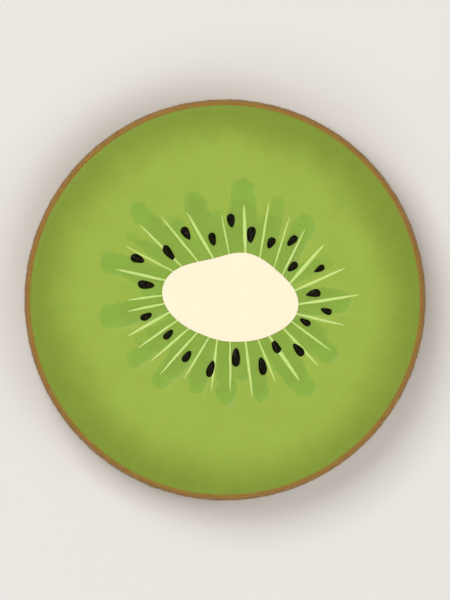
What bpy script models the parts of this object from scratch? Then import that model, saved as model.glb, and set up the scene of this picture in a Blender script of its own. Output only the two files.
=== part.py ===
"""Kiwi slice: one round cut across a ripe fruit just off its middle, lying on its lower cut face.

Metres, +Z up. The origin is the centre of the lower face, and the cut's long side runs along X.
The flesh carries the skin, the sunk seed chambers, the pale rays and the seeds. The pale core is a
piece of its own that runs through the flesh from face to face.
"""

import math

import bmesh
import bpy
from mathutils import Matrix, Vector

MM = 0.001

# Driving dimensions of the slice.
WIDEST_RADIUS = 25.0 * MM
THICKNESS = 8.0 * MM
FRUIT_HALF_LENGTH = 31.0 * MM
WIDEST_HEIGHT = 2.8 * MM
SKIN_WIDTH = 0.32 * MM
SKIN_DROP = 0.10 * MM
FACE_SHOULDER = 0.30 * MM
VALLEY_DEPTH = 0.18 * MM
TURN_STEPS = 96
SIDE_STEPS = 6
MERGE_DISTANCE = 0.01 * MM

# The skin's cut edge is flat between these shares of its width, measured from outside. The flesh
# rolls down to it: each station is a share of the shoulder's width, and of the valley's depth.
SKIN_EDGE = (0.8, 0.3)
SHOULDER_STATIONS = ((1.0, 0.0), (0.25, 0.33), (0.0, 1.0))

# The core's outline: mean radius, then the cosine and sine share of each harmonic round its centre.
CORE_CENTRE = Vector((0.82, 0.23)) * MM
CORE_RADIUS = 6.66 * MM
CORE_HARMONICS = {
    2: (1.41, -0.21),
    3: (-0.21, -0.04),
    4: (0.31, -0.26),
    5: (0.03, 0.01),
    6: (0.05, -0.05),
    7: (0.02, 0.0),
    8: (0.0, -0.02),
}
CORE_POINTS = 72
CORE_GAP = 0.3 * MM
CORE_RISE = 0.03 * MM
CORE_CROWN = ((0.12, 0.05), (0.60, 0.05), (1.80, 0.04))

# Seed chambers: how deep the soft flesh has sunk there, by how much and over how many chambers
# that depth varies, and how far their walls lean.
CHAMBER_DEPTH = 0.20 * MM
CHAMBER_DEPTH_STEP = 0.012 * MM
CHAMBER_DEPTHS = 4
CHAMBER_LEAN = 0.30 * MM
CHAMBER_END_POINTS = 7
CUTTER_MARGIN = 0.5 * MM

# Rays stand this far above the upper face, and end this far inside the lower one. Each station is
# a share of the way from the core to the tip, and the share of the greatest width there.
RAY_RISE = 0.04 * MM
RAY_STATIONS = ((0.0, 0.66), (0.40, 1.0), (0.80, 0.76))
RAY_TIP_WIDTH = 0.06 * MM
RAY_INTO_CORE = 1.0 * MM

# Seeds are six-sided teardrops. Each station is a share of the half length, from the point at -1
# to the blunt end at 1, and the share of the greatest width there.
SEED_HALF_THICKNESS = 0.30 * MM
SEED_SHOW = 0.22 * MM
SEED_SIDES = 6
SEED_STATIONS = ((-1.0, 0.0), (-0.65, 0.57), (0.20, 1.0), (0.80, 0.68), (1.0, 0.0))

# Each row is a bearing in degrees and a distance in mm from the slice's centre, the heading in
# degrees along which the feature points away from the core, and its own sizes in mm.
# Chambers: the centre of the round outer end, its width, and the width at the root.
CHAMBERS = (
    (359.6, 14.05, 3, 3.2, 3.2),
    (20.5, 13.4, 23, 2.0, 2.0),
    (43.2, 13.6, 62, 2.8, 2.8),
    (61.2, 13.7, 79, 1.9, 1.9),
    (62, 10.9, 75, 2.1, 2.1),
    (80.7, 13.9, 89, 2.9, 5.6),
    (96.5, 10.4, 102, 1.8, 1.8),
    (107.5, 12.8, 113, 2.7, 2.7),
    (122.7, 11.6, 124, 1.8, 1.8),
    (134.2, 15.5, 134, 2.2, 3.2),
    (146.3, 14.4, 150, 0.8, 4.0),
    (161.5, 15.0, 161, 2.6, 2.6),
    (173.9, 12.3, 177, 1.9, 2.2),
    (188.2, 14.4, 192, 3.0, 3.0),
    (204.8, 11.7, 207, 1.5, 1.5),
    (212.9, 13.4, 214, 2.2, 2.2),
    (231.2, 12.8, 229, 2.3, 4.6),
    (251.7, 11.2, 254, 2.1, 2.6),
    (270.7, 12.0, 269, 2.4, 2.4),
    (284, 9.6, 277, 1.7, 1.7),
    (291, 12.6, 280, 2.0, 2.0),
    (312.2, 14.6, 304, 2.8, 4.8),
    (332.3, 14.6, 322, 2.5, 2.8),
    (340.4, 12.8, 331, 2.0, 2.0),
)
# Rays: the outer tip, and the greatest width.
RAYS = (
    (2.2, 16.9, 8.9, 0.47),
    (14.9, 15.6, 24.2, 0.47),
    (29.3, 14.25, 48.8, 0.55),
    (41.7, 13.5, 63.7, 0.37),
    (52.4, 13.3, 73.1, 0.30),
    (66, 13.55, 80.8, 0.35),
    (78.8, 12.25, 91.7, 0.54),
    (92.5, 10.7, 101.5, 0.29),
    (113.5, 12, 119.6, 0.46),
    (127.5, 13.2, 129.5, 0.36),
    (138.5, 14.3, 135.1, 0.39),
    (151.6, 14.2, 151.9, 0.30),
    (164.3, 14.2, 167.4, 0.45),
    (180.2, 12.2, 187.9, 0.34),
    (186.7, 12.25, 191.7, 0.39),
    (200.6, 13, 210, 0.46),
    (209.1, 12.55, 215.3, 0.37),
    (219.7, 12.1, 220.9, 0.37),
    (228.9, 12.5, 228.3, 0.39),
    (242.6, 11.15, 239, 0.36),
    (261.5, 11.55, 263.7, 0.38),
    (273.3, 11.65, 270.1, 0.37),
    (285.8, 12.6, 277, 0.41),
    (301.5, 12.2, 292.2, 0.35),
    (312.6, 13.8, 304.1, 0.58),
    (324.7, 14.35, 312.9, 0.42),
    (334.3, 14.7, 323.3, 0.36),
    (348, 15.35, 346.7, 0.42),
)
# Seeds: the middle, the length and the width. The blunt end points along the heading.
SEEDS = (
    (4.4, 11.07, 9, 1.88, 0.94),
    (18.2, 12.41, 31, 1.51, 0.74),
    (26.1, 9.43, 45, 1.55, 0.90),
    (41.3, 11.18, 46, 1.70, 0.86),
    (51, 9.15, 64, 1.54, 0.97),
    (68, 8.78, 82, 2.17, 1.09),
    (85.6, 9.93, 97, 1.80, 1.00),
    (101.4, 7.75, 102, 1.67, 0.93),
    (120.1, 9.63, 119, 1.88, 1.05),
    (139.9, 9.16, 128, 2.30, 0.98),
    (154.6, 12.08, 161, 1.90, 1.09),
    (169, 10.05, 174, 2.22, 1.10),
    (191.8, 10.06, 204, 1.58, 0.87),
    (211.6, 8.29, 223, 1.60, 0.80),
    (235.7, 8.51, 234, 1.67, 0.85),
    (258.5, 8.75, 251, 2.27, 0.99),
    (281.1, 7.26, 269, 2.44, 1.06),
    (299.5, 9.49, 279, 2.33, 1.03),
    (317.5, 8.65, 300, 1.86, 0.97),
    (326, 11.12, 310, 1.96, 1.04),
    (344.7, 10.41, 332, 1.52, 0.80),
    (353.6, 12.73, 342, 1.49, 0.81),
)

FLESH_GREEN = (0.34, 0.48, 0.07)
FLESH_ROUGHNESS = 0.35
CORE_CREAM = (1.0, 0.92, 0.68)
CORE_ROUGHNESS = 0.5


def direction(degrees):
    """The unit vector in the plane of the slice at this bearing."""
    return Vector((math.cos(math.radians(degrees)), math.sin(math.radians(degrees))))


def placed(bearing, distance):
    """A point in the plane of the slice, from a table's bearing and distance in mm."""
    return direction(bearing) * distance * MM


def core_radius(angle):
    """The core's radius round its own centre at this angle in radians."""
    swing = sum(
        c * math.cos(k * angle) + s * math.sin(k * angle)
        for k, (c, s) in CORE_HARMONICS.items()
    )
    return CORE_RADIUS + swing * MM


def core_outline(grow=0.0):
    """The core's outline, anticlockwise, moved outwards by grow."""
    outline = []
    for i in range(CORE_POINTS):
        angle = math.tau * i / CORE_POINTS
        spoke = Vector((math.cos(angle), math.sin(angle)))
        outline.append(CORE_CENTRE + spoke * (core_radius(angle) + grow))
    return outline


def fruit_radius(height):
    """The radius over the skin at this height: the whole fruit is longer than it is wide."""
    along = (height - WIDEST_HEIGHT) / FRUIT_HALF_LENGTH
    return WIDEST_RADIUS * math.sqrt(1 - along**2)


def new_collection(name):
    collection = bpy.data.collections.new(name)
    bpy.context.scene.collection.children.link(collection)
    return collection


def new_object(name, bm, collection, material=None):
    """Makes the bmesh an object in this collection, with its faces turned outwards."""
    bmesh.ops.recalc_face_normals(bm, faces=bm.faces)
    mesh = bpy.data.meshes.new(name)
    bm.to_mesh(mesh)
    bm.free()
    obj = bpy.data.objects.new(name, mesh)
    collection.objects.link(obj)
    if material:
        mesh.materials.append(material)
    return obj


def new_helper(name, bm, collection):
    """A cutter or an adding shape, which is never shown by itself."""
    obj = new_object(name, bm, collection)
    obj.hide_render = True
    obj.display_type = "WIRE"
    return obj


def principled(name, colour, roughness):
    material = bpy.data.materials.new(name)
    material.use_nodes = True
    shader = material.node_tree.nodes["Principled BSDF"]
    shader.inputs["Base Color"].default_value = (*colour, 1.0)
    shader.inputs["Roughness"].default_value = roughness
    shader.inputs["Metallic"].default_value = 0.0
    return material


def prism(points, bottom, top):
    """A bmesh of a flat outline raised from bottom to top."""
    bm = bmesh.new()
    floor = bm.faces.new([bm.verts.new((p.x, p.y, bottom)) for p in points])
    raised = bmesh.ops.extrude_face_region(bm, geom=[floor], use_keep_orig=True)
    lifted = [v for v in raised["geom"] if isinstance(v, bmesh.types.BMVert)]
    bmesh.ops.translate(bm, verts=lifted, vec=(0, 0, top - bottom))
    return bm


def slice_profile():
    """Half the slice's section, from the middle of the upper face out, down the skin and back in."""
    top_edge = fruit_radius(THICKNESS)
    low_edge = fruit_radius(0.0)
    skin_top = THICKNESS - SKIN_DROP
    profile = [(0.0, THICKNESS)]
    for share, sunk in SHOULDER_STATIONS:
        radius = top_edge - SKIN_WIDTH - FACE_SHOULDER * share
        profile.append((radius, THICKNESS - VALLEY_DEPTH * sunk))
    for share in SKIN_EDGE:
        profile.append((top_edge - SKIN_WIDTH * share, skin_top))
    for i in range(SIDE_STEPS + 1):
        height = skin_top - SKIN_DROP - (skin_top - 3 * SKIN_DROP) * i / SIDE_STEPS
        profile.append((fruit_radius(height), height))
    for share in reversed(SKIN_EDGE):
        profile.append((low_edge - SKIN_WIDTH * share, SKIN_DROP))
    for share, sunk in reversed(SHOULDER_STATIONS):
        radius = low_edge - SKIN_WIDTH - FACE_SHOULDER * share
        profile.append((radius, VALLEY_DEPTH * sunk))
    profile.append((0.0, 0.0))
    return profile


def turned_slice(collection, material):
    """The plain round slice, before anything is cut from it or added to it."""
    bm = bmesh.new()
    line = [bm.verts.new((r, 0, z)) for r, z in slice_profile()]
    for a, b in zip(line, line[1:]):
        bm.edges.new((a, b))
    mesh = bpy.data.meshes.new("flesh")
    bm.to_mesh(mesh)
    bm.free()
    mesh.materials.append(material)
    flesh = bpy.data.objects.new("flesh", mesh)
    collection.objects.link(flesh)
    turn = flesh.modifiers.new("turn", "SCREW")
    turn.steps = turn.render_steps = TURN_STEPS
    turn.use_merge_vertices = True
    turn.merge_threshold = MERGE_DISTANCE
    turn.use_normal_calculate = True
    return flesh


def chamber_outline(row, shrink):
    """A chamber's outline: a round outer end, and an inner end that lies inside the core."""
    bearing, distance, heading, width, root_width = row
    tip, along = placed(bearing, distance), direction(heading)
    half = width * MM / 2 - shrink
    root_half = root_width * MM / 2 - shrink
    inner = tip - along * (tip - CORE_CENTRE).length
    across = Vector((-along.y, along.x))
    outline = [inner + across * root_half, inner - across * root_half]
    for i in range(CHAMBER_END_POINTS):
        turn = math.radians(heading - 90) + math.pi * i / (CHAMBER_END_POINTS - 1)
        outline.append(tip + Vector((math.cos(turn), math.sin(turn))) * half)
    return outline


def chamber_cutter(row, floor, mouth):
    """A shallow tray with leaning walls, from its floor to a mouth beyond the face."""
    bm = bmesh.new()
    lean = CHAMBER_LEAN * abs(mouth - floor) / CHAMBER_DEPTH
    for shrink, height in ((CHAMBER_LEAN, floor), (CHAMBER_LEAN - lean, mouth)):
        for p in chamber_outline(row, shrink):
            bm.verts.new((p.x, p.y, height))
    bmesh.ops.convex_hull(bm, input=bm.verts)
    return bm


def ray_blade(row):
    """A pale ray: a thin wall through the slice, widest before its middle and pointed outside."""
    bearing, distance, heading, width = row
    tip, along = placed(bearing, distance), direction(heading)
    across = Vector((-along.y, along.x))
    half_width = width * MM / 2
    root = tip - along * ray_length(tip, along)
    half_widths = [(root.lerp(tip, s), half_width * slim) for s, slim in RAY_STATIONS]
    half_widths[0] = (root - along * RAY_INTO_CORE, half_widths[0][1])
    half_widths.append((tip, RAY_TIP_WIDTH / 2))
    left = [p + across * half for p, half in half_widths]
    right = [p - across * half for p, half in half_widths]
    return prism(right + left[::-1], RAY_RISE, THICKNESS + RAY_RISE)


def ray_length(tip, along):
    """How far it is from a ray's tip back to the core's outline."""
    step = 0.05 * MM
    length = 0.0
    while length < WIDEST_RADIUS:
        spoke = tip - along * length - CORE_CENTRE
        if spoke.length < core_radius(math.atan2(spoke.y, spoke.x)):
            break
        length += step
    return length


def seed_teardrop(row, height):
    """A seed: blunt outside, and drawn out to a point towards the core."""
    bearing, distance, heading, length, width = row
    bm = bmesh.new()
    side_reach = math.cos(math.pi / SEED_SIDES)
    for along, slim in SEED_STATIONS:
        for i in range(SEED_SIDES if slim else 1):
            turn = math.pi / 2 + math.tau * i / SEED_SIDES
            bm.verts.new((along, slim * math.cos(turn) / side_reach, slim * math.sin(turn)))
    bmesh.ops.convex_hull(bm, input=bm.verts)
    half_size = (length * MM / 2, width * MM / 2, SEED_HALF_THICKNESS)
    bmesh.ops.scale(bm, verts=bm.verts, vec=half_size)
    spot = placed(bearing, distance)
    place = Matrix.Translation((spot.x, spot.y, height))
    turn = Matrix.Rotation(math.radians(heading), 4, "Z")
    bmesh.ops.transform(bm, matrix=place @ turn, verts=bm.verts)
    return bm


def add_boolean(obj, name, operation, collection):
    modifier = obj.modifiers.new(name, "BOOLEAN")
    modifier.operation = operation
    modifier.solver = "EXACT"
    modifier.operand_type = "COLLECTION"
    modifier.collection = collection


def apply_modifiers(obj):
    """Makes the object's evaluated mesh its own mesh."""
    graph = bpy.context.evaluated_depsgraph_get()
    mesh = bpy.data.meshes.new_from_object(obj.evaluated_get(graph))
    obj.modifiers.clear()
    obj.data = mesh
    mesh.name = obj.name


def remove_collection(collection):
    for obj in list(collection.objects):
        bpy.data.objects.remove(obj)
    bpy.data.collections.remove(collection)


def build_flesh(parts):
    """The round slice with its chambers sunk, its rays and seeds fused on, and the core's hole."""
    flesh = turned_slice(parts, principled("green_flesh", FLESH_GREEN, FLESH_ROUGHNESS))
    chambers = new_collection("chamber_cutters")
    for i, row in enumerate(CHAMBERS):
        depth = CHAMBER_DEPTH + CHAMBER_DEPTH_STEP * (i % CHAMBER_DEPTHS)
        upper = (THICKNESS - depth, THICKNESS + CUTTER_MARGIN)
        lower = (depth, -CUTTER_MARGIN)
        new_helper(f"upper_chamber_{i}", chamber_cutter(row, *upper), chambers)
        new_helper(f"lower_chamber_{i}", chamber_cutter(row, *lower), chambers)
    additions = new_collection("rays_and_seeds")
    for i, row in enumerate(RAYS):
        new_helper(f"ray_{i}", ray_blade(row), additions)
    upper_seat = THICKNESS + SEED_SHOW - SEED_HALF_THICKNESS
    lower_seat = SEED_HALF_THICKNESS + RAY_RISE
    for i, row in enumerate(SEEDS):
        new_helper(f"upper_seed_{i}", seed_teardrop(row, upper_seat), additions)
        new_helper(f"lower_seed_{i}", seed_teardrop(row, lower_seat), additions)
    hole = new_collection("core_cutter")
    hole_outline = core_outline(grow=CORE_GAP)
    hole_cut = prism(hole_outline, -CUTTER_MARGIN, THICKNESS + CUTTER_MARGIN)
    new_helper("core_hole", hole_cut, hole)
    add_boolean(flesh, "sink_chambers", "DIFFERENCE", chambers)
    add_boolean(flesh, "add_rays_and_seeds", "UNION", additions)
    add_boolean(flesh, "cut_core_hole", "DIFFERENCE", hole)
    apply_modifiers(flesh)
    for collection in (chambers, additions, hole):
        remove_collection(collection)
    return flesh


def build_core(parts):
    """The pale core: a plug of the same outline, flat below and slightly crowned above."""
    bm = prism(core_outline(), 0.0, THICKNESS + CORE_RISE)
    top = max(bm.faces, key=lambda face: face.calc_center_median().z)
    for inwards, rise in CORE_CROWN:
        bmesh.ops.inset_individual(
            bm, faces=[top], thickness=inwards * MM, depth=rise * MM
        )
    finish = principled("cream_core", CORE_CREAM, CORE_ROUGHNESS)
    return new_object("core", bm, parts, finish)


def main():
    for obj in list(bpy.data.objects):
        bpy.data.objects.remove(obj)
    parts = new_collection("kiwi_slice")
    build_flesh(parts)
    build_core(parts)


main()
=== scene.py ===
"""Kiwi slice: a fresh round slice of ripe green kiwi fruit, seen from straight above on a pale table.

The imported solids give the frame: the slice's radius and thickness are read from them, and every
piece below stands where they stand. Lengths in the tables and dataclasses are in millimetres, and
turn to metres where a mesh is placed. X runs along the core's long side, Z up through the face.
"""

import logging
import math
import random
from dataclasses import dataclass
from enum import Enum

import bmesh
import bpy
from mathutils import Matrix, Vector, noise

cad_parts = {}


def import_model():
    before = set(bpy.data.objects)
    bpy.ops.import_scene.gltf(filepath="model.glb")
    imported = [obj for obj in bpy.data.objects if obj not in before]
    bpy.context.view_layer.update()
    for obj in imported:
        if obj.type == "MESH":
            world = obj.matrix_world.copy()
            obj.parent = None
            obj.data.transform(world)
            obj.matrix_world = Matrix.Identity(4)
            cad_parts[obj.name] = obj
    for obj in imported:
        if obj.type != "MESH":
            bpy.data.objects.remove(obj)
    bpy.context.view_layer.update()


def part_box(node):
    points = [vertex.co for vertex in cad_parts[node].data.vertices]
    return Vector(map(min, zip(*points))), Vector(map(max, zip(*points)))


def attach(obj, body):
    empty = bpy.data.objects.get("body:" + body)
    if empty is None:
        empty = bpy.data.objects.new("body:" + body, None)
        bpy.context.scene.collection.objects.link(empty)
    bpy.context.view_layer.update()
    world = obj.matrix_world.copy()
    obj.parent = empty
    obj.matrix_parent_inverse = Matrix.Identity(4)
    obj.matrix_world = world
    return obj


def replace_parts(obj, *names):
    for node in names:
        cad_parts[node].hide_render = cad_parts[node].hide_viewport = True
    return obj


LOG = logging.getLogger("kiwi_slice")
MM = 0.001
BODY = "root"

# The lamps light a flat white face to this much.
LAMP_STRENGTH = 1.15

# The solids' seeds stand this far above the upper face, in millimetres.
SEED_SHOW = 0.22

# Points closer than this on the axis of a turned piece become one, in millimetres.
WELD = 0.0001

# A length under this counts as none, in millimetres.
TINY = 0.001

# Sockets of Blender's Mix node when it mixes colours.
MIX_FACTOR = 0
MIX_A = 6
MIX_B = 7
MIX_COLOUR = 2


class Face(Enum):
    """The two cut faces of the slice."""

    UPPER = 1
    LOWER = -1


@dataclass(frozen=True)
class Chamber:
    """A seed chamber: a soft darker lobe that reaches out from the core.

    The centre of its round outer end is at a bearing and a distance from the slice's centre. Its
    second, deeper tone starts a way in from there.
    """

    bearing: float
    distance: float
    heading: float
    width: float
    root_width: float
    deep_from: float
    colour: float = 1.0


@dataclass(frozen=True)
class Ray:
    """A pale chamber wall, from the core's outline to its tip, widest before its middle."""

    bearing: float
    distance: float
    heading: float
    width: float


@dataclass(frozen=True)
class Seed:
    """A seed: its middle, the heading of its blunt outer end, its length and its width.

    Its tip, the narrow inner end, has this share of the blunt end's width.
    """

    bearing: float
    distance: float
    heading: float
    length: float
    width: float
    tip: float


CHAMBERS = (
    Chamber(359.6, 14.05, 3, 3.2, 3.2, 1.5),
    Chamber(20.5, 13.4, 23, 2.0, 2.0, 1.7, 0.5),
    Chamber(43.2, 13.6, 62, 2.8, 2.8, 2.4),
    Chamber(61.2, 13.7, 79, 1.9, 1.9, 2.5, 0.7),
    Chamber(62, 10.9, 75, 2.1, 2.1, 1.0, 0.6),
    Chamber(80.7, 13.9, 89, 2.9, 5.6, 2.9),
    Chamber(96.5, 10.4, 102, 1.8, 1.8, 0.9, 0.75),
    Chamber(107.5, 12.8, 113, 2.7, 2.7, 0.6),
    Chamber(122.7, 11.6, 124, 1.8, 1.8, 1.0, 0.65),
    Chamber(134.2, 15.5, 134, 2.2, 3.2, 2.7),
    Chamber(146.3, 14.4, 150, 0.8, 4.0, 2.0, 0.75),
    Chamber(161.5, 15.0, 161, 2.6, 2.6, 3.0),
    Chamber(173.9, 12.3, 177, 1.9, 2.2, 2.8, 0.3),
    Chamber(188.2, 14.4, 192, 3.0, 3.0, 2.6),
    Chamber(204.8, 11.7, 207, 1.5, 1.5, 1.8, 0.5),
    Chamber(212.9, 13.4, 214, 2.2, 2.2, 3.2),
    Chamber(231.2, 12.8, 229, 2.3, 4.6, 2.4),
    Chamber(251.7, 11.2, 254, 2.1, 2.6, 1.0),
    Chamber(270.7, 12.0, 269, 2.4, 2.4, 1.5),
    Chamber(284, 9.6, 277, 1.7, 1.7, 0.0),
    Chamber(291, 12.6, 280, 2.0, 2.0, 1.1),
    Chamber(312.2, 14.6, 304, 2.8, 4.8, 2.4),
    Chamber(332.3, 14.6, 322, 2.5, 2.8, 2.8),
    Chamber(340.4, 12.8, 331, 2.0, 2.0, 0.9, 0.8),
)
RAYS = (
    Ray(2.2, 16.9, 8.9, 0.47),
    Ray(14.9, 15.6, 24.2, 0.47),
    Ray(29.3, 14.25, 48.8, 0.55),
    Ray(41.7, 13.5, 63.7, 0.37),
    Ray(52.4, 13.3, 73.1, 0.30),
    Ray(66, 13.55, 80.8, 0.35),
    Ray(78.8, 12.25, 91.7, 0.54),
    Ray(92.5, 10.7, 101.5, 0.29),
    Ray(113.5, 12, 119.6, 0.46),
    Ray(127.5, 13.2, 129.5, 0.36),
    Ray(138.5, 14.3, 135.1, 0.39),
    Ray(151.6, 14.2, 151.9, 0.30),
    Ray(164.3, 14.2, 167.4, 0.45),
    Ray(180.2, 12.2, 187.9, 0.34),
    Ray(186.7, 12.25, 191.7, 0.39),
    Ray(200.6, 13, 210, 0.46),
    Ray(209.1, 12.55, 215.3, 0.37),
    Ray(219.7, 12.1, 220.9, 0.37),
    Ray(228.9, 12.5, 228.3, 0.39),
    Ray(242.6, 11.15, 239, 0.36),
    Ray(261.5, 11.55, 263.7, 0.38),
    Ray(273.3, 11.65, 270.1, 0.37),
    Ray(285.8, 12.6, 277, 0.41),
    Ray(301.5, 12.2, 292.2, 0.35),
    Ray(312.6, 13.8, 304.1, 0.58),
    Ray(324.7, 14.35, 312.9, 0.42),
    Ray(334.3, 14.7, 323.3, 0.36),
    Ray(348, 15.35, 346.7, 0.42),
)
SEEDS = (
    Seed(3.9, 11.06, 9, 1.86, 1.00, 0.29),
    Seed(18.3, 12.37, 31, 1.51, 0.79, 0.24),
    Seed(26.2, 9.40, 44, 1.54, 0.94, 0.42),
    Seed(41.3, 11.17, 46, 1.66, 0.90, 0.51),
    Seed(50.9, 9.15, 62, 1.51, 0.99, 0.42),
    Seed(67.9, 8.77, 81, 2.06, 1.10, 0.43),
    Seed(85.6, 9.94, 97, 1.74, 1.01, 0.43),
    Seed(101.5, 7.75, 102, 1.66, 0.94, 0.51),
    Seed(120.1, 9.61, 120, 1.80, 1.07, 0.34),
    Seed(139.8, 9.12, 127, 2.24, 1.00, 0.42),
    Seed(154.9, 12.04, 161, 1.84, 1.10, 0.46),
    Seed(169, 10.03, 173, 2.12, 1.09, 0.46),
    Seed(191.7, 10.06, 204, 1.55, 0.87, 0.59),
    Seed(211.2, 8.29, 224, 1.56, 0.83, 0.50),
    Seed(235.9, 8.51, 234, 1.65, 0.87, 0.55),
    Seed(258.6, 8.76, 251, 2.21, 0.98, 0.50),
    Seed(281, 7.29, 268, 2.35, 1.07, 0.50),
    Seed(299.2, 9.48, 279, 2.25, 1.06, 0.49),
    Seed(317.6, 8.65, 298, 1.78, 1.00, 0.45),
    Seed(325.9, 11.08, 311, 1.94, 1.07, 0.42),
    Seed(344.8, 10.39, 331, 1.51, 0.83, 0.40),
    Seed(353.9, 12.72, 341, 1.47, 0.83, 0.31),
)


def direction(degrees: float) -> Vector:
    """Returns the unit vector in the slice's plane at a bearing, anticlockwise from +X."""
    return Vector((math.cos(math.radians(degrees)), math.sin(math.radians(degrees))))


def smooth_step(low: float, high: float, value: float) -> float:
    """Eases from 0 at low to 1 at high, which is less than low where the step falls."""
    share = min(1.0, max(0.0, (value - low) / (high - low)))
    return share * share * (3 - 2 * share)


def linear(hex_colour: str) -> tuple[float, float, float, float]:
    """Turns an sRGB hex colour, as seen under the lamps, into the linear one that shaders take.

    Args:
        hex_colour: six hex digits.

    Returns:
        Linear red, green and blue, divided by the lamps' strength, with an alpha of 1.
    """
    shares = [int(hex_colour[i : i + 2], 16) / 255 for i in (0, 2, 4)]
    # These are the constants of the sRGB curve.
    levels = [s / 12.92 if s <= 0.04045 else ((s + 0.055) / 1.055) ** 2.4 for s in shares]
    return (*(level / LAMP_STRENGTH for level in levels), 1.0)


@dataclass(frozen=True)
class Ripple:
    """A smooth random swing over the plane: its size, its waves in each unit and its pattern."""

    size: float
    pitch: float
    pattern: float = 0.0

    def at(self, x: float, y: float) -> float:
        """Returns the swing at a point of the plane."""
        return self.size * noise.noise((x * self.pitch, y * self.pitch, self.pattern))


@dataclass(frozen=True)
class SliceForm:
    """The slice's plan and section, in millimetres, which every piece is fitted to.

    The lower face's flesh lies at lower_level above the table, and the rays and seeds reach down
    from it.
    """

    thickness: float
    widest_radius: float
    fruit_half_length: float = 31.0
    widest_height: float = 2.8
    skin_width: float = 0.35
    lower_level: float = 0.10
    core_centre: tuple[float, float] = (0.82, 0.23)
    core_mean: float = 6.66
    core_harmonics: tuple[tuple[int, float, float], ...] = (
        (2, 1.41, -0.21),
        (3, -0.21, -0.04),
        (4, 0.31, -0.26),
        (5, 0.03, 0.01),
        (6, 0.05, -0.05),
        (7, 0.02, 0.0),
        (8, 0.0, -0.02),
    )

    def outer_radius(self, height: float) -> float:
        """Returns the radius over the skin at a height, as the fruit's long oval has it."""
        along = (height - self.widest_height) / self.fruit_half_length
        return self.widest_radius * math.sqrt(1 - along * along)

    def core_radius(self, angle: float) -> float:
        """Returns the core's radius round its own centre at an angle in radians."""
        swing = sum(
            c * math.cos(k * angle) + s * math.sin(k * angle)
            for k, c, s in self.core_harmonics
        )
        return self.core_mean + swing

    def inside_core(self, point: Vector) -> bool:
        """Says whether a point in the plane lies inside the core's outline."""
        spoke = point - Vector(self.core_centre)
        return spoke.length < self.core_radius(math.atan2(spoke.y, spoke.x))


@dataclass
class ChamberField:
    """Says how strongly the chambers colour and sink each point of a face.

    The lower face has sunk further, because its seeds can't stand proud of it.
    """

    form: SliceForm
    upper_depth: float = 0.14
    lower_depth: float = 0.24
    edge: float = 0.15
    deep_edge: float = 0.30
    deep_colour: float = 0.9
    slope: float = 0.9
    waver: Ripple = Ripple(0.30, 1.1)
    fray: Ripple = Ripple(0.14, 4, 20)

    def __post_init__(self) -> None:
        """Works out each chamber's tip, direction, length and widths as plain numbers."""
        self.lobes = []
        for chamber in CHAMBERS:
            tip = direction(chamber.bearing) * chamber.distance
            along = direction(chamber.heading)
            length = (tip - Vector(self.form.core_centre)).length
            widening = (chamber.root_width - chamber.width) / 2 / length
            self.lobes.append((*tip, *along, length, chamber.width / 2, widening, chamber))
        widest = max(chamber.distance + chamber.width / 2 for chamber in CHAMBERS)
        self.reach = widest + self.slope + self.waver.size

    def cover(self, x: float, y: float) -> tuple[float, float]:
        """Reads the field at a point of the plane.

        Args:
            x: the point's place along X.
            y: its place along Y.

        Returns:
            The summed colour of the chambers that cover it, and how far it has sunk, 0 to 1.
        """
        if math.hypot(x, y) > self.reach:
            return 0.0, 0.0
        waver = self.waver.at(x, y)
        fray = self.fray.at(x, y)
        colour = 0.0
        sunk = 0.0
        for tip_x, tip_y, along_x, along_y, length, half, widening, chamber in self.lobes:
            side = abs((x - tip_x) * along_y - (y - tip_y) * along_x)
            if side > half + widening * length + self.slope + self.waver.size:
                continue
            ahead = (x - tip_x) * along_x + (y - tip_y) * along_y
            back = min(0.0, max(-length, ahead))
            gap = math.hypot(side, ahead - back) - half + widening * back + waver
            if gap > self.slope:
                continue
            colour += chamber.colour * smooth_step(self.edge, -self.edge, gap + fray)
            sunk = max(sunk, chamber.colour * smooth_step(self.slope, -self.slope, gap))
            back = min(-chamber.deep_from, back)
            gap = math.hypot(side, ahead - back) - half + widening * back + waver
            deep = smooth_step(self.deep_edge, -self.deep_edge, gap + fray)
            colour += self.deep_colour * deep
        return colour, sunk


def append_mesh(bm: bmesh.types.BMesh, part: bmesh.types.BMesh) -> None:
    """Adds one bmesh to another and frees it.

    Args:
        bm: the bmesh that grows.
        part: the bmesh that is added.
    """
    carrier = bpy.data.meshes.new("carrier")
    part.to_mesh(carrier)
    part.free()
    bm.from_mesh(carrier)
    bpy.data.meshes.remove(carrier)


def make_piece(
    name: str,
    bm: bmesh.types.BMesh,
    material: bpy.types.Material,
    sharp_degrees: float = 50.0,
) -> bpy.types.Object:
    """Makes a bmesh in millimetres a finished piece in metres that rides on the slice.

    Args:
        name: the piece's name.
        bm: its shape, which is freed.
        material: its finish.
        sharp_degrees: edges that turn by more than this stay crisp.

    Returns:
        The piece.
    """
    bmesh.ops.scale(bm, vec=(MM, MM, MM), verts=bm.verts)
    for face in bm.faces:
        face.smooth = True
    mesh = bpy.data.meshes.new(name)
    bm.to_mesh(mesh)
    bm.free()
    mesh.set_sharp_from_angle(angle=math.radians(sharp_degrees))
    mesh.materials.append(material)
    piece = bpy.data.objects.new(name, mesh)
    bpy.context.scene.collection.objects.link(piece)
    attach(piece, BODY)
    return piece


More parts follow.
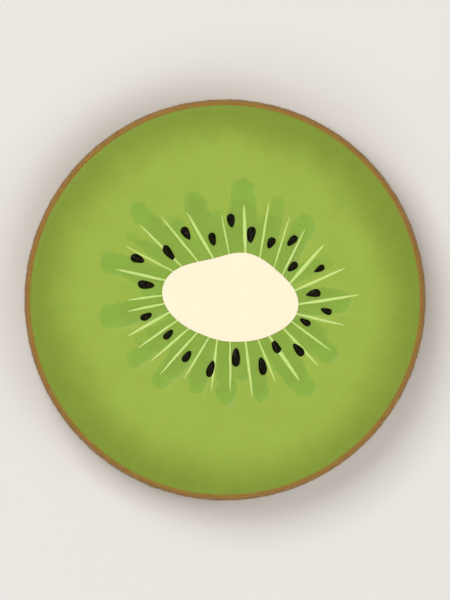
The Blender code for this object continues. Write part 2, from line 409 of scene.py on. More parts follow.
def turned(
    profile: list[tuple[float, float]], steps: int, ring: bool = True
) -> bmesh.types.BMesh:
    """Turns a section round the Z axis into a closed shape.

    Args:
        profile: the section's corners as radius and height, in order.
        steps: how many segments the full turn has.
        ring: True for a closed section clear of the axis, False for one that ends on it.

    Returns:
        The shape, with its faces turned outwards.
    """
    bm = bmesh.new()
    line = [bm.verts.new((radius, 0, height)) for radius, height in profile]
    ends = line[1:] + line[:1] if ring else line[1:]
    edges = [bm.edges.new(pair) for pair in zip(line, ends)]
    bmesh.ops.spin(
        bm,
        geom=line + edges,
        cent=(0, 0, 0),
        axis=(0, 0, 1),
        angle=math.tau,
        steps=steps,
        use_merge=True,
    )
    if not ring:
        bmesh.ops.remove_doubles(bm, verts=bm.verts, dist=WELD)
    bmesh.ops.recalc_face_normals(bm, faces=bm.faces)
    return bm


def add_node(
    tree: bpy.types.NodeTree,
    kind: str,
    inputs: dict | None = None,
    **settings: object,
) -> bpy.types.Node:
    """Adds a node with its settings and links.

    Args:
        tree: the node tree that it goes in.
        kind: Blender's name for the node's type.
        inputs: each input's name or number, and its value or the socket that feeds it.
        **settings: the node's own properties.

    Returns:
        The node.
    """
    node = tree.nodes.new(kind)
    for name, value in settings.items():
        setattr(node, name, value)
    for key, value in (inputs or {}).items():
        if isinstance(value, bpy.types.NodeSocket):
            tree.links.new(value, node.inputs[key])
        else:
            node.inputs[key].default_value = value
    return node


def new_material(name: str) -> tuple[bpy.types.Material, bpy.types.NodeTree, bpy.types.Node]:
    """Makes a material with only its Principled shader and output.

    Args:
        name: the material's name.

    Returns:
        The material, its node tree and its Principled shader.
    """
    material = bpy.data.materials.new(name)
    material.use_nodes = True
    tree = material.node_tree
    shader = tree.nodes["Principled BSDF"]
    return material, tree, shader


@dataclass(frozen=True)
class MoistFlesh:
    """Cut kiwi flesh: translucent, juicy cells in fine fibres that run out from the core.

    To the eye it is an even yellow-green with a soft wet gleam, greener in the chambers and very
    faintly streaked. Towards the skin it is darkened by painted shade. The fibres are drawn coarser
    than the real ones, which are too fine to show. Sizes are in millimetres.
    """

    flesh: str = "9bb43e"
    chamber: str = "89ad38"
    deep_chamber: str = "88a838"
    # The tone of the painted shade that darkens the flesh towards the skin.
    painted_rim_shade: str = "7e9426"
    fibre_spacing: float = 0.40
    fibre_length: float = 7.14
    mid_flesh: float = 0.7
    cell_size: float = 0.5
    cloud_size: float = 3.03
    soft_detail: float = 3.0
    soft_harshness: float = 0.5
    cell_detail: float = 4.0
    cell_harshness: float = 0.6
    streak_share: float = 0.30
    cell_share: float = 0.35
    cloud_share: float = 0.35
    grain_low: float = 0.35
    grain_high: float = 0.65
    contrast: float = 0.045
    bump_strength: float = 0.35
    bump_depth: float = 0.05
    roughness: float = 0.42
    ior: float = 1.30
    glow: float = 0.25
    glow_colours: tuple[float, float, float] = (0.5, 0.8, 0.2)
    glow_depth: float = 0.5
    coat: float = 0.10
    coat_roughness: float = 0.25

    def material(self, form: SliceForm) -> bpy.types.Material:
        """Builds the material on the flesh's own attribute and the slice's plan.

        Args:
            form: the slice's plan, whose core the fibres run out from.

        Returns:
            The material.
        """
        material, tree, shader = new_material("moist_kiwi_flesh")
        place = add_node(tree, "ShaderNodeTexCoord")
        shades = add_node(
            tree, "ShaderNodeAttribute", attribute_name="shades", attribute_type="GEOMETRY"
        )
        parts = add_node(
            tree, "ShaderNodeSeparateColor", {"Color": shades.outputs["Color"]}
        )
        colour = linear(self.flesh)
        # The blue part of the layer carries painted shade, which darkens the flesh towards the skin.
        tones = (("Red", self.chamber), ("Green", self.deep_chamber), ("Blue", self.painted_rim_shade))
        for part, tone in tones:
            mixed = add_node(
                tree,
                "ShaderNodeMix",
                {MIX_FACTOR: parts.outputs[part], MIX_A: colour, MIX_B: linear(tone)},
                data_type="RGBA",
            )
            colour = mixed.outputs[MIX_COLOUR]
        centre = (-form.core_centre[0] * MM, -form.core_centre[1] * MM, 0)
        from_core = add_node(
            tree, "ShaderNodeVectorMath", {0: place.outputs["Object"], 1: centre}, operation="ADD"
        )
        flat = add_node(
            tree,
            "ShaderNodeVectorMath",
            {0: from_core.outputs[0], 1: (1, 1, 0)},
            operation="MULTIPLY",
        )
        spoke = add_node(
            tree, "ShaderNodeVectorMath", {0: flat.outputs[0]}, operation="NORMALIZE"
        )
        # Round a circle of this radius the noise has one wave for each fibre, as at mid flesh.
        turns = form.widest_radius * self.mid_flesh / self.fibre_spacing
        around = add_node(
            tree, "ShaderNodeVectorMath", {0: spoke.outputs[0], "Scale": turns}, operation="SCALE"
        )
        drawn_out = add_node(
            tree,
            "ShaderNodeVectorMath",
            {0: place.outputs["Object"], "Scale": 1 / (self.fibre_length * MM)},
            operation="SCALE",
        )
        fibres = add_node(
            tree,
            "ShaderNodeVectorMath",
            {0: around.outputs[0], 1: drawn_out.outputs[0]},
            operation="ADD",
        )
        cell_scale = 1 / (self.cell_size * MM)
        cloud_scale = 1 / (self.cloud_size * MM)
        soft = (self.soft_detail, self.soft_harshness)
        fine = (self.cell_detail, self.cell_harshness)
        layers = (
            (fibres.outputs[0], 1.0, *soft, self.streak_share),
            (place.outputs["Object"], cell_scale, *fine, self.cell_share),
            (place.outputs["Object"], cloud_scale, *soft, self.cloud_share),
        )
        grain = 0.0
        for spot, scale, detail, harshness, share in layers:
            pattern = add_node(
                tree,
                "ShaderNodeTexNoise",
                {"Vector": spot, "Scale": scale, "Detail": detail, "Roughness": harshness},
            )
            total = add_node(
                tree,
                "ShaderNodeMath",
                {0: pattern.outputs["Fac"], 1: share, 2: grain},
                operation="MULTIPLY_ADD",
            )
            grain = total.outputs[0]
        value = add_node(
            tree,
            "ShaderNodeMapRange",
            {
                "Value": grain,
                "From Min": self.grain_low,
                "From Max": self.grain_high,
                "To Min": 1 - self.contrast,
                "To Max": 1 + self.contrast,
            },
        )
        grained = add_node(
            tree, "ShaderNodeVectorMath", {0: colour, "Scale": value.outputs[0]}, operation="SCALE"
        )
        tree.links.new(grained.outputs[0], shader.inputs["Base Color"])
        bump = add_node(
            tree,
            "ShaderNodeBump",
            {"Height": grain, "Strength": self.bump_strength, "Distance": self.bump_depth * MM},
        )
        tree.links.new(bump.outputs[0], shader.inputs["Normal"])
        shader.inputs["Roughness"].default_value = self.roughness
        shader.inputs["IOR"].default_value = self.ior
        shader.inputs["Subsurface Weight"].default_value = self.glow
        shader.inputs["Subsurface Radius"].default_value = self.glow_colours
        shader.inputs["Subsurface Scale"].default_value = self.glow_depth * MM
        shader.inputs["Coat Weight"].default_value = self.coat
        shader.inputs["Coat Roughness"].default_value = self.coat_roughness
        return material


@dataclass(frozen=True)
class Speckled:
    """A finish of two tones in fine specks with a slight bump, for core, rays, seeds and skin.

    Sizes are in millimetres. glow says how much light passes under the surface. Where a piece has a
    cut_edge attribute, it is painted darker there as shade, to the given share.
    """

    name: str
    tone: str
    other_tone: str
    speck_size: float
    speck_from: float
    speck_to: float
    roughness: float
    bump_depth: float
    bump_strength: float = 0.6
    speck_detail: float = 5.0
    speck_harshness: float = 0.6
    ior: float = 1.4
    painted_edge_shade: float = 1.0
    glow: float = 0.0
    glow_colours: tuple[float, float, float] = (1.0, 1.0, 1.0)
    glow_depth: float = 0.1

    def material(self) -> bpy.types.Material:
        """Builds the material on the piece's Object coordinates.

        Returns:
            The material.
        """
        material, tree, shader = new_material(self.name)
        place = add_node(tree, "ShaderNodeTexCoord")
        specks = add_node(
            tree,
            "ShaderNodeTexNoise",
            {
                "Vector": place.outputs["Object"],
                "Scale": 1 / (self.speck_size * MM),
                "Detail": self.speck_detail,
                "Roughness": self.speck_harshness,
            },
        )
        share = add_node(
            tree,
            "ShaderNodeMapRange",
            {
                "Value": specks.outputs["Fac"],
                "From Min": self.speck_from,
                "From Max": self.speck_to,
            },
        )
        mixed = add_node(
            tree,
            "ShaderNodeMix",
            {
                MIX_FACTOR: share.outputs[0],
                MIX_A: linear(self.tone),
                MIX_B: linear(self.other_tone),
            },
            data_type="RGBA",
        )
        colour = mixed.outputs[MIX_COLOUR]
        # Painted shade: where the cut_edge attribute is set, the colour is darkened.
        if self.painted_edge_shade < 1:
            edge = add_node(
                tree, "ShaderNodeAttribute", attribute_name="cut_edge", attribute_type="GEOMETRY"
            )
            shade = add_node(
                tree,
                "ShaderNodeMapRange",
                {"Value": edge.outputs["Fac"], "To Min": 1.0, "To Max": self.painted_edge_shade},
            )
            shaded = add_node(
                tree, "ShaderNodeVectorMath", {0: colour, "Scale": shade.outputs[0]}, operation="SCALE"
            )
            colour = shaded.outputs[0]
        tree.links.new(colour, shader.inputs["Base Color"])
        bump = add_node(
            tree,
            "ShaderNodeBump",
            {
                "Height": specks.outputs["Fac"],
                "Strength": self.bump_strength,
                "Distance": self.bump_depth * MM,
            },
        )
        tree.links.new(bump.outputs[0], shader.inputs["Normal"])
        shader.inputs["Roughness"].default_value = self.roughness
        shader.inputs["IOR"].default_value = self.ior
        shader.inputs["Subsurface Weight"].default_value = self.glow
        shader.inputs["Subsurface Radius"].default_value = self.glow_colours
        shader.inputs["Subsurface Scale"].default_value = self.glow_depth * MM
        return material


@dataclass
class Flesh:
    """The green flesh: a ring from the core's outline to the skin, with both cut faces."""

    form: SliceForm
    chambers: ChamberField
    turn_steps: int = 576
    upper_rings: tuple[int, int] = (72, 24)
    lower_rings: tuple[int, int] = (34, 12)
    shoulder_rings: int = 4
    wall_steps: int = 3
    chamber_zone: float = 0.62
    plain_zone: float = 0.975
    tuck_under_core: float = 0.15
    tuck_under_skin: float = 0.12
    shoulder: float = 0.50
    shoulder_drop: float = 0.035
    swell: Ripple = Ripple(0.012, 0.5, 0.5)
    # The flesh is painted darker towards the skin as shade: from shade_start to shade_end, its edge
    # swung by the leans and clouds.
    shade_start: float = 17.34
    shade_end: float = 24.2
    shade_reach: float = 2.0
    shade_leans: tuple[tuple[int, float, float], ...] = (
        (1, 0.28, 128),
        (2, 0.55, 80),
        (4, 0.12, -121),
    )
    clouds: tuple[Ripple, ...] = (Ripple(0.7, 0.16, 1.4), Ripple(0.5, 0.45, 1.3))
    finish: MoistFlesh = MoistFlesh()

    def radial_stops(self, near: int, far: int) -> list[float]:
        """Returns the rings' places from the core at 0 to the skin at 1.

        Args:
            near: how many rings the chambers' zone has.
            far: how many the plain outer flesh has.

        Returns:
            The places, closest together where the chambers and the shoulder are.
        """
        zone = self.chamber_zone
        edge = self.plain_zone
        last = self.shoulder_rings
        stops = [zone * i / near for i in range(near)]
        stops += [zone + (edge - zone) * i / far for i in range(far)]
        stops += [edge + (1 - edge) * i / last for i in range(last + 1)]
        return stops

    def template(self) -> bmesh.types.BMesh:
        """Turns the ring on radii 1 to 2, which fitted() then stretches to the outline.

        Returns:
            The ring.
        """
        upper = [(1 + s, self.form.thickness) for s in self.radial_stops(*self.upper_rings)]
        lower = [(1 + s, 0.0) for s in reversed(self.radial_stops(*self.lower_rings))]
        steps = self.wall_steps
        walls = [self.form.thickness * i / steps for i in range(steps - 1, 0, -1)]
        outside = [(2.0, height) for height in walls]
        inside = [(1.0, height) for height in reversed(walls)]
        return turned(upper + outside + lower + inside, self.turn_steps)

    def rim_shade(self, x: float, y: float) -> float:
        """Says how much painted shade darkens the flesh at a point, more towards the skin.

        Args:
            x: the point's place along X.
            y: its place along Y.

        Returns:
            The share of the painted rim shade's tone, from 0 in the middle to 1 at the skin.
        """
        radius = math.hypot(x, y)
        if radius < self.shade_start - self.shade_reach:
            return 0.0
        bearing = math.atan2(y, x)
        lean = sum(
            far * math.cos(waves * bearing - math.radians(start))
            for waves, far, start in self.shade_leans
        )
        cloud = sum(ripple.at(x, y) for ripple in self.clouds)
        return smooth_step(self.shade_start, self.shade_end, radius + lean + cloud)

    def relief(self, x: float, y: float, edge_gap: float) -> float:
        """Returns how far a face has sunk beside its chambers, at a point this far from the skin."""
        drop = self.shoulder_drop * smooth_step(self.shoulder, 0.0, edge_gap)
        return self.swell.at(x, y) + drop

    def fitted(self) -> bmesh.types.BMesh:
        """Stretches the template between core and skin, and sinks its faces.

        Returns:
            The flesh, with the shares of its chamber tones and of its painted rim shade in its shades
            layer.
        """
        form = self.form
        bm = self.template()
        layer = bm.verts.layers.float_color.new("shades")
        centre_x, centre_y = form.core_centre
        for v in bm.verts:
            across, deep, height = v.co
            share = math.hypot(across, deep) - 1
            angle = math.atan2(deep, across)
            inner = form.core_radius(angle) - self.tuck_under_core
            skin_inside = form.outer_radius(height) - form.skin_width
            reach = inner + (skin_inside + self.tuck_under_skin - inner) * share
            x = centre_x * (1 - share) + math.cos(angle) * reach
            y = centre_y * (1 - share) + math.sin(angle) * reach
            gap = skin_inside - math.hypot(x, y)
            colour, sunk = self.chambers.cover(x, y)
            if height == 0.0:
                depth = self.relief(x, y, gap) + self.chambers.lower_depth * sunk
                height = form.lower_level + depth
            elif height > form.thickness - TINY:
                height -= self.relief(x, y, gap) + self.chambers.upper_depth * sunk
            v.co = (x, y, height)
            # Red and green hold the chambers' tones, blue the painted rim shade.
            deeper = min(1.0, max(0.0, colour - 1))
            v[layer] = (min(1.0, colour), deeper, self.rim_shade(x, y), 1.0)
        return bm

    def build(self) -> bpy.types.Object:
        """Builds the flesh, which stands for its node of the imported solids.

        Returns:
            The piece.
        """
        material = self.finish.material(self.form)
        piece = make_piece("flesh_ring", self.fitted(), material)
        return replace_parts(piece, "flesh")


@dataclass
class Core:
    """The pale core: a plug of the core's outline with a slightly crowned upper end."""

    form: SliceForm
    turn_steps: int = 288
    rings: int = 40
    rise: float = 0.03
    crown: float = 0.12
    crown_power: int = 4
    corner_share: float = 0.994
    edge_round: float = 0.04
    floor_ring: float = 0.5
    swell: Ripple = Ripple(0.02, 5)
    # Kiwi core is dense, pale and almost dry. Its fibres show as no more than a faint grain.
    finish: Speckled = Speckled(
        name="cream_kiwi_core",
        tone="fff4d6",
        other_tone="fdf0d0",
        speck_size=0.7,
        speck_from=0.35,
        speck_to=0.75,
        speck_detail=4.0,
        speck_harshness=0.5,
        roughness=0.5,
        bump_depth=0.03,
        bump_strength=0.2,
        ior=1.25,
        glow=0.15,
        glow_colours=(0.6, 0.5, 0.3),
        glow_depth=0.4,
    )

    def profile(self) -> list[tuple[float, float]]:
        """Gives the plug's section on a radius of 1.

        Returns:
            Its corners, from the upper middle round to the lower middle.
        """
        top = self.form.thickness + self.rise
        slope = [i / self.rings for i in range(self.rings)]
        upper = [(s, top + self.crown * (1 - s**self.crown_power)) for s in slope]
        corner = [(self.corner_share, top), (1.0, top - self.edge_round)]
        return upper + corner + [(1.0, 0.0), (self.floor_ring, 0.0), (0.0, 0.0)]

    def build(self) -> bpy.types.Object:
        """Builds the core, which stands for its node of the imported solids.

        Returns:
            The piece.
        """
        form = self.form
        bm = turned(self.profile(), self.turn_steps, ring=False)
        for v in bm.verts:
            angle = math.atan2(v.co.y, v.co.x)
            reach = form.core_radius(angle) * math.hypot(v.co.x, v.co.y)
            crowned = v.co.z > form.thickness + self.rise
            lift = self.swell.at(v.co.x, v.co.y) if crowned else 0.0
            v.co = (
                form.core_centre[0] + reach * math.cos(angle),
                form.core_centre[1] + reach * math.sin(angle),
                v.co.z + lift,
            )
        piece = make_piece("core_plug", bm, self.finish.material())
        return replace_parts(piece, "core")


@dataclass
class Rays:
    """The pale chamber walls, which show as fine slivers on both faces.

    Below they follow most of the way into the sunk chambers, so that they pass behind the seeds.
    """

    form: SliceForm
    chambers: ChamberField
    sides: int = 16
    rings: int = 26
    root_share: float = 0.62
    widest_at: float = 0.35
    tip_power: int = 4
    tip_bluntness: float = 0.6
    least_half_width: float = 0.012
    waver: float = 0.03
    waver_pitch: float = 4.0
    waver_step: float = 3.7
    rise: float = 0.03
    root_drop: float = 0.06
    half_height: float = 0.3
    into_core: float = 0.4
    search_step: float = 0.05
    lower_follow: float = 0.8
    # Chamber walls are firm, pale tissue, cut clean, and look an even, almost matt yellow-green.
    finish: Speckled = Speckled(
        name="pale_chamber_wall",
        tone="cae37e",
        other_tone="bbd86e",
        speck_size=0.35,
        speck_from=0.45,
        speck_to=0.75,
        roughness=0.45,
        bump_depth=0.02,
    )

    def half_width(self, ray: Ray, share: float) -> float:
        """Gives a ray's half width.

        Args:
            ray: the ray.
            share: where to read it, as a share of the ray's length from the root.

        Returns:
            The half width there.
        """
        swell = smooth_step(0.0, self.widest_at, share)
        slim = self.root_share + (1 - self.root_share) * swell
        point = max(0.0, 1 - share**self.tip_power) ** self.tip_bluntness
        return ray.width / 2 * slim * point

    def length(self, tip: Vector, along: Vector) -> float:
        """Measures a ray back from its tip to the core's outline.

        Args:
            tip: the tip's place in the plane.
            along: the unit vector along the ray, away from the core.

        Returns:
            The ray's length.
        """
        length = 0.0
        while not self.form.inside_core(tip - along * length):
            length += self.search_step
        return length

    def sliver(self, ray: Ray, face: Face, index: int) -> bmesh.types.BMesh:
        """Shapes one ray on one face.

        Args:
            ray: the ray.
            face: the face that it shows on.
            index: the ray's number, which gives its own waver.

        Returns:
            A closed, tapered sliver.
        """
        tip = direction(ray.bearing) * ray.distance
        along = direction(ray.heading)
        across = Vector((-along.y, along.x))
        length = self.length(tip, along) + self.into_core
        bm = bmesh.new()
        bmesh.ops.create_cone(
            bm, cap_ends=True, segments=self.sides, radius1=1, radius2=1, depth=1
        )
        lengthwise = [e for e in bm.edges if abs(e.verts[0].co.z - e.verts[1].co.z) > 0.5]
        bmesh.ops.subdivide_edges(bm, edges=lengthwise, cuts=self.rings)
        follow = self.lower_follow * self.chambers.lower_depth
        for v in bm.verts:
            share = v.co.z + 0.5
            shown = max(0.0, share * length - self.into_core) / (length - self.into_core)
            half = max(self.least_half_width, self.half_width(ray, shown))
            place = (share * self.waver_pitch, index * self.waver_step, 0)
            waver = self.waver * noise.noise(place)
            # The section is boxy, so that the ray is as wide at the face as below it.
            side = half * math.copysign(math.sqrt(abs(v.co.x)), v.co.x) + waver
            upright = math.copysign(math.sqrt(abs(v.co.y)), v.co.y)
            lift = self.rise if shown > 0 else -self.root_drop
            rounding = self.half_height * (upright - 1)
            height = face.value * (lift + rounding)
            spot = tip - along * length * (1 - share) + across * side
            if face is Face.UPPER:
                level = self.form.thickness
            else:
                _, sunk = self.chambers.cover(spot.x, spot.y)
                level = self.form.lower_level + follow * sunk
            v.co = (spot.x, spot.y, level + height)
        bmesh.ops.recalc_face_normals(bm, faces=bm.faces)
        return bm

    def build(self) -> bpy.types.Object:
        """Builds every ray on both faces as one piece.

        Returns:
            The piece.
        """
        bm = bmesh.new()
        for face in Face:
            for index, ray in enumerate(RAYS):
                append_mesh(bm, self.sliver(ray, face, index))
        piece = make_piece("chamber_walls", bm, self.finish.material())
        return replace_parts(piece, "flesh")


@dataclass
class Seeds:
    """The ring of dark seeds, each a teardrop with its point towards the core."""

    form: SliceForm
    round_segments: int = 28
    long_segments: int = 20
    half_thickness: float = 0.30
    seat_below: float = 0.02
    tip_power: float = 3.2
    end_power: float = 2.0
    most_bend: float = 0.10
    dents: float = 0.07
    dent_pitch: float = 2.2
    stretch: float = 0.02
    stretch_pitch: float = 2.0
    patterns: float = 50.0
    draw_seed: int = 22
    # Seed coat is a hard, smooth, brown-black shell. The juice round it takes most of its gloss away.
    finish: Speckled = Speckled(
        name="glossy_seed_coat",
        tone="0f0e00",
        other_tone="62564a",
        speck_size=0.14,
        speck_from=0.60,
        speck_to=0.70,
        roughness=0.22,
        bump_depth=0.02,
        ior=1.12,
    )

    def half_width(self, seed: Seed, along: float) -> float:
        """Gives a seed's unscaled half width.

        Args:
            seed: the seed.
            along: where to read it, from the tip at -1 to the blunt end at 1.

        Returns:
            The half width there.
        """
        power = self.tip_power if along < 0 else self.end_power
        taper = seed.tip + (1 - seed.tip) * (1 + along) / 2
        return taper * math.sqrt(max(0.0, 1 - abs(along) ** power))

    def teardrop(self, seed: Seed, face: Face, draw: random.Random) -> bmesh.types.BMesh:
        """Shapes one seed on one face.

        Args:
            seed: the seed.
            face: the face that it shows on.
            draw: gives the seed its own bend and dents.

        Returns:
            A closed teardrop.
        """
        bm = bmesh.new()
        bmesh.ops.create_uvsphere(
            bm, u_segments=self.round_segments, v_segments=self.long_segments, radius=1.0
        )
        turn = Matrix.Rotation(math.pi / 2, 3, "Y")
        bmesh.ops.rotate(bm, verts=bm.verts, matrix=turn)
        bend = draw.uniform(-self.most_bend, self.most_bend)
        shift = draw.uniform(0, self.patterns)
        last = self.long_segments
        widest = max(self.half_width(seed, i / last) for i in range(1 - last, last))
        half = Vector((seed.length / 2, seed.width / 2 / widest, self.half_thickness / widest))
        for v in bm.verts:
            slim = self.half_width(seed, v.co.x) / max(TINY, math.hypot(v.co.y, v.co.z))
            dent = noise.noise(v.co * self.dent_pitch + Vector((shift, 0, 0)))
            dents = 1 + self.dents * dent
            pull = noise.noise(v.co * self.stretch_pitch + Vector((0, shift, 0)))
            x = v.co.x * half.x * (1 + self.stretch * pull)
            y = v.co.y * half.y * slim * dents + bend * (1 - v.co.x**2) * half.y
            z = v.co.z * half.z * slim * dents
            v.co = (x, y, z)
        spot = direction(seed.bearing) * seed.distance
        if face is Face.UPPER:
            seat = self.form.thickness + SEED_SHOW - self.half_thickness
        else:
            seat = self.half_thickness + self.seat_below
        place = Matrix.Translation((spot.x, spot.y, seat))
        spin = Matrix.Rotation(math.radians(seed.heading), 4, "Z")
        bmesh.ops.transform(bm, matrix=place @ spin, verts=bm.verts)
        return bm

    def build(self) -> bpy.types.Object:
        """Builds every seed on both faces as one piece.

        Returns:
            The piece.
        """
        draw = random.Random(self.draw_seed)
        bm = bmesh.new()
        for face in Face:
            for seed in SEEDS:
                append_mesh(bm, self.teardrop(seed, face, draw))
        piece = make_piece("seeds", bm, self.finish.material(), sharp_degrees=80)
        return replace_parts(piece, "flesh")


@dataclass
class Skin:
    """The thin brown skin round the slice, with its two cut edges."""

    form: SliceForm
    turn_steps: int = 480
    side_rings: int = 20
    wall_steps: int = 3
    edge_drop: float = 0.02
    inner_drop: float = 0.03
    lip_inner: float = 0.85
    lip_ridge: float = 0.5
    lip_outer: float = 0.2
    ridge_rise: float = 0.02
    corner: float = 0.06
    cut_depth: float = 0.04
    side_share: float = 0.9
    dents: float = 0.03
    dent_bias: float = 0.3
    broad_pitch: float = 0.35
    fine_pitch: float = 2.5
    fine_share: float = 0.4
    # Kiwi skin is thin, leathery and dry, and looks a dull, faintly mottled brown.
    finish: Speckled = Speckled(
        name="brown_kiwi_skin",
        tone="ac823e",
        other_tone="9c712d",
        speck_size=0.9,
        speck_from=0.45,
        speck_to=0.8,
        roughness=0.85,
        bump_depth=0.05,
        ior=1.25,
        # The upper cut edge gets more lamp light than the side, so both cut edges are painted darker
        # as shade, to show the same brown as the side.
        painted_edge_shade=0.76,
    )

    def profile(self) -> list[tuple[float, float]]:
        """Gives the skin's closed section.

        Returns:
            Its corners, from the upper inner one outwards and down, and back up inside.
        """
        form = self.form
        width = form.skin_width
        top = form.thickness - self.edge_drop
        low = self.edge_drop
        upper = form.outer_radius(top)
        lower = form.outer_radius(low)
        section = [
            (upper - width, top - self.inner_drop),
            (upper - width * self.lip_inner, top),
            (upper - width * self.lip_ridge, top + self.ridge_rise),
            (upper - width * self.lip_outer, top),
        ]
        for i in range(self.side_rings + 1):
            fall = (top - low - 2 * self.corner) * i / self.side_rings
            height = top - self.corner - fall
            section.append((form.outer_radius(height), height))
        section += [
            (lower - width * self.lip_outer, low),
            (lower - width * self.lip_inner, low),
            (lower - width, low + self.inner_drop),
        ]
        for i in range(1, self.wall_steps):
            height = form.thickness * i / self.wall_steps
            section.append((form.outer_radius(height) - width, height))
        return section

    def build(self) -> bpy.types.Object:
        """Builds the skin with shallow dents in its outer side, and marks its two cut edges for
        painted shade.

        Returns:
            The piece.
        """
        bm = turned(self.profile(), self.turn_steps)
        cut_edge = bm.verts.layers.float.new("cut_edge")
        side_low = self.edge_drop + self.cut_depth
        side_high = self.form.thickness - side_low
        for v in bm.verts:
            # The cut edges are marked for painted shade.
            v[cut_edge] = 0.0 if side_low < v.co.z < side_high else 1.0
            radius = math.hypot(v.co.x, v.co.y)
            depth = radius - self.form.outer_radius(v.co.z) + self.form.skin_width
            if depth < self.form.skin_width * self.side_share:
                continue
            dent = self.dents * (noise.noise(v.co * self.broad_pitch) - self.dent_bias)
            dent += self.fine_share * self.dents * noise.noise(v.co * self.fine_pitch)
            scale = 1 + min(0.0, dent) / radius
            v.co.x *= scale
            v.co.y *= scale
        piece = make_piece("skin", bm, self.finish.material())
        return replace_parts(piece, "flesh")


@dataclass
class Fuzz:
    """The skin's short stiff hairs, which lean along it."""

    form: SliceForm
    hairs: int = 10000
    shortest: float = 0.3
    longest: float = 0.75
    radius: float = 0.025
    tip_share: float = 0.25
    root_depth: float = 0.06
    margin: float = 0.25
    clearance: float = 0.03
    least_lift: float = 5.0
    most_lift: float = 20.0
    fall: float = -90.0
    fall_spread: float = 40.0
    draw_seed: int = 7
    # Kiwi hair is a fine, dry bristle, tan to brown, that roughens the skin's outline.
    finish: Speckled = Speckled(
        name="kiwi_hair",
        tone="c9a46b",
        other_tone="6e4d24",
        speck_size=1.2,
        speck_from=0.4,
        speck_to=0.6,
        roughness=0.7,
        bump_depth=0.01,
        ior=1.3,
    )

    def hair(self) -> bpy.types.Mesh:
        """Makes one hair, a slim cone of length 1 that stands on the origin.

        Returns:
            Its mesh, on a radius of 1.
        """
        bm = bmesh.new()
        bmesh.ops.create_cone(
            bm,
            cap_ends=True,
            segments=3,
            radius1=1,
            radius2=self.tip_share,
            depth=1,
            matrix=Matrix.Translation((0, 0, 0.5)),
        )
        sides = [e for e in bm.edges if abs(e.verts[0].co.z - e.verts[1].co.z) > 0.5]
        bmesh.ops.subdivide_edges(bm, edges=sides, cuts=1)
        mesh = bpy.data.meshes.new("hair")
        bm.to_mesh(mesh)
        bm.free()
        return mesh

    def build(self) -> bpy.types.Object:
        """Scatters the hairs over the skin's outer side as one piece.

        Returns:
            The piece.
        """
        draw = random.Random(self.draw_seed)
        form = self.form
        template = self.hair()
        bm = bmesh.new()
        for _ in range(self.hairs):
            angle = draw.uniform(0, math.tau)
            height = draw.uniform(self.margin, form.thickness - self.margin)
            length = draw.uniform(self.shortest, self.longest)
            lift = math.radians(draw.uniform(self.least_lift, self.most_lift))
            turn = math.radians(draw.gauss(self.fall, self.fall_spread))
            outwards = math.sin(lift)
            sideways = math.cos(lift) * math.cos(turn)
            upwards = math.cos(lift) * math.sin(turn)
            tip = height + length * upwards
            if not self.clearance < tip < form.thickness - self.clearance:
                continue
            lie = Vector((outwards, sideways, upwards)).to_track_quat("Z", "Y")
            root = form.outer_radius(height) - self.root_depth
            place = (
                Matrix.Rotation(angle, 4, "Z")
                @ Matrix.Translation((root, 0, height))
                @ lie.to_matrix().to_4x4()
                @ Matrix.Diagonal((self.radius, self.radius, length, 1))
            )
            copy = template.copy()
            copy.transform(place)
            bm.from_mesh(copy)
            bpy.data.meshes.remove(copy)
        bpy.data.meshes.remove(template)
        bmesh.ops.recalc_face_normals(bm, faces=bm.faces)
        piece = make_piece("skin_hairs", bm, self.finish.material())
        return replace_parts(piece, "flesh")


@dataclass(frozen=True)
class Lamp:
    """A square soft lamp: its name, its place and its side in metres, and its power in watts."""

    name: str
    place: tuple[float, float, float]
    side: float
    power: float


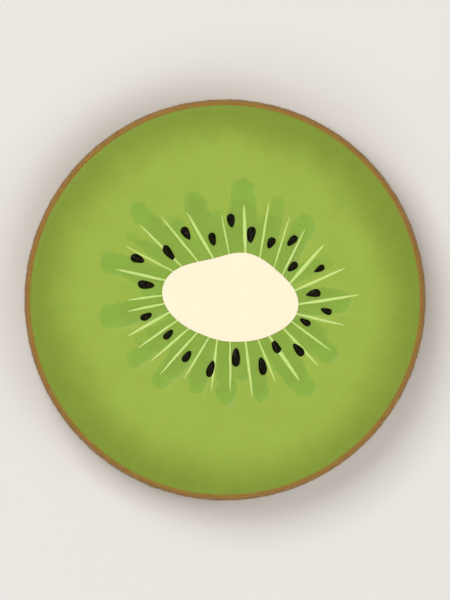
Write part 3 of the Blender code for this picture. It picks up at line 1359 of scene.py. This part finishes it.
@dataclass
class Studio:
    """The pale table, the soft lights and the camera straight above.

    The room's light changes with the sine of the height above the horizon.
    """

    frame_height: float = 74.925
    shift_right: float = 0.005
    shift_up: float = -0.01
    camera_height: float = 400.0
    table_half_width: float = 3000.0
    table_gap: float = 0.02
    table_colour: str = "e9e6e1"
    table_roughness: float = 0.9
    table_ior: float = 1.3
    lamps: tuple[Lamp, ...] = (
        Lamp("key", (-0.20, 0.23, 0.53), 0.35, 2.33),
        Lamp("fill", (0.27, -0.07, 0.47), 0.40, 1.10),
        Lamp("back", (-0.07, -0.29, 0.47), 0.40, 0.87),
    )
    room_tint: tuple[float, float, float, float] = (1.0, 0.99, 0.97, 1.0)
    horizon_height: float = 0.05
    horizon_light: float = 0.75
    overhead_height: float = 0.7
    overhead_light: float = 0.09
    ground_height: float = -0.02
    ground_light: float = 0.80

    def table(self) -> None:
        """Lays the pale table under the slice."""
        bm = bmesh.new()
        # It lies a hair's breadth lower than the slice, so that the two surfaces never coincide.
        bmesh.ops.create_grid(
            bm,
            x_segments=1,
            y_segments=1,
            size=self.table_half_width * MM,
            matrix=Matrix.Translation((0, 0, -self.table_gap * MM)),
        )
        mesh = bpy.data.meshes.new("table")
        bm.to_mesh(mesh)
        bm.free()
        material, _, shader = new_material("matt_pale_table")
        shader.inputs["Base Color"].default_value = linear(self.table_colour)
        shader.inputs["Roughness"].default_value = self.table_roughness
        shader.inputs["IOR"].default_value = self.table_ior
        mesh.materials.append(material)
        table = bpy.data.objects.new("table", mesh)
        bpy.context.scene.collection.objects.link(table)

    def hang(self, lamp: Lamp) -> None:
        """Hangs one lamp so that it points at the slice.

        Args:
            lamp: the lamp.
        """
        light = bpy.data.lights.new(lamp.name, "AREA")
        light.shape = "SQUARE"
        light.size = lamp.side
        light.energy = lamp.power
        hung = bpy.data.objects.new(lamp.name, light)
        hung.location = lamp.place
        hung.rotation_euler = Vector(lamp.place).to_track_quat("Z", "Y").to_euler()
        bpy.context.scene.collection.objects.link(hung)

    def surroundings(self) -> None:
        """Fills the room with a weak light that is paler at the horizon than overhead."""
        world = bpy.data.worlds.new("room")
        bpy.context.scene.world = world
        world.use_nodes = True
        tree = world.node_tree
        background = tree.nodes["Background"]
        place = add_node(tree, "ShaderNodeTexCoord")
        parts = add_node(
            tree, "ShaderNodeSeparateXYZ", {"Vector": place.outputs["Generated"]}
        )
        level = add_node(
            tree,
            "ShaderNodeMapRange",
            {
                "Value": parts.outputs["Z"],
                "From Min": self.horizon_height,
                "From Max": self.overhead_height,
                "To Min": self.horizon_light,
                "To Max": self.overhead_light,
            },
        )
        # Below the horizon it is as bright as the table, for low views that look past its edge.
        below = add_node(
            tree,
            "ShaderNodeMapRange",
            {
                "Value": parts.outputs["Z"],
                "From Min": self.ground_height,
                "From Max": 0.0,
                "To Min": self.ground_light,
                "To Max": level.outputs[0],
            },
        )
        tree.links.new(below.outputs[0], background.inputs["Strength"])
        background.inputs["Color"].default_value = self.room_tint

    def camera(self) -> None:
        """Hangs the camera straight above, so that the face shows as flat as the photo has it."""
        data = bpy.data.cameras.new("camera")
        data.type = "ORTHO"
        data.ortho_scale = self.frame_height * MM
        camera = bpy.data.objects.new("camera", data)
        camera.location = (
            self.shift_right * MM,
            self.shift_up * MM,
            self.camera_height * MM,
        )
        bpy.context.scene.collection.objects.link(camera)
        bpy.context.scene.camera = camera

    def build(self) -> None:
        """Sets up the whole studio."""
        bpy.context.scene.view_settings.view_transform = "Standard"
        self.table()
        for lamp in self.lamps:
            self.hang(lamp)
        self.surroundings()
        self.camera()


def main() -> None:
    """Builds the studio and every piece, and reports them."""
    logging.basicConfig(level=logging.INFO, format="%(name)s: %(message)s")
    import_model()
    low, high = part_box("flesh")
    form = SliceForm(
        thickness=round((high.z - low.z) / MM - SEED_SHOW, 2),
        widest_radius=(high.x - low.x) / 2 / MM,
    )
    Studio().build()
    chambers = ChamberField(form)
    parts = (
        Flesh(form, chambers),
        Core(form),
        Rays(form, chambers),
        Seeds(form),
        Skin(form),
        Fuzz(form),
    )
    for part in parts:
        piece = part.build()
        LOG.info("%s has %d faces", piece.name, len(piece.data.polygons))


if __name__ == "__main__":
    main()
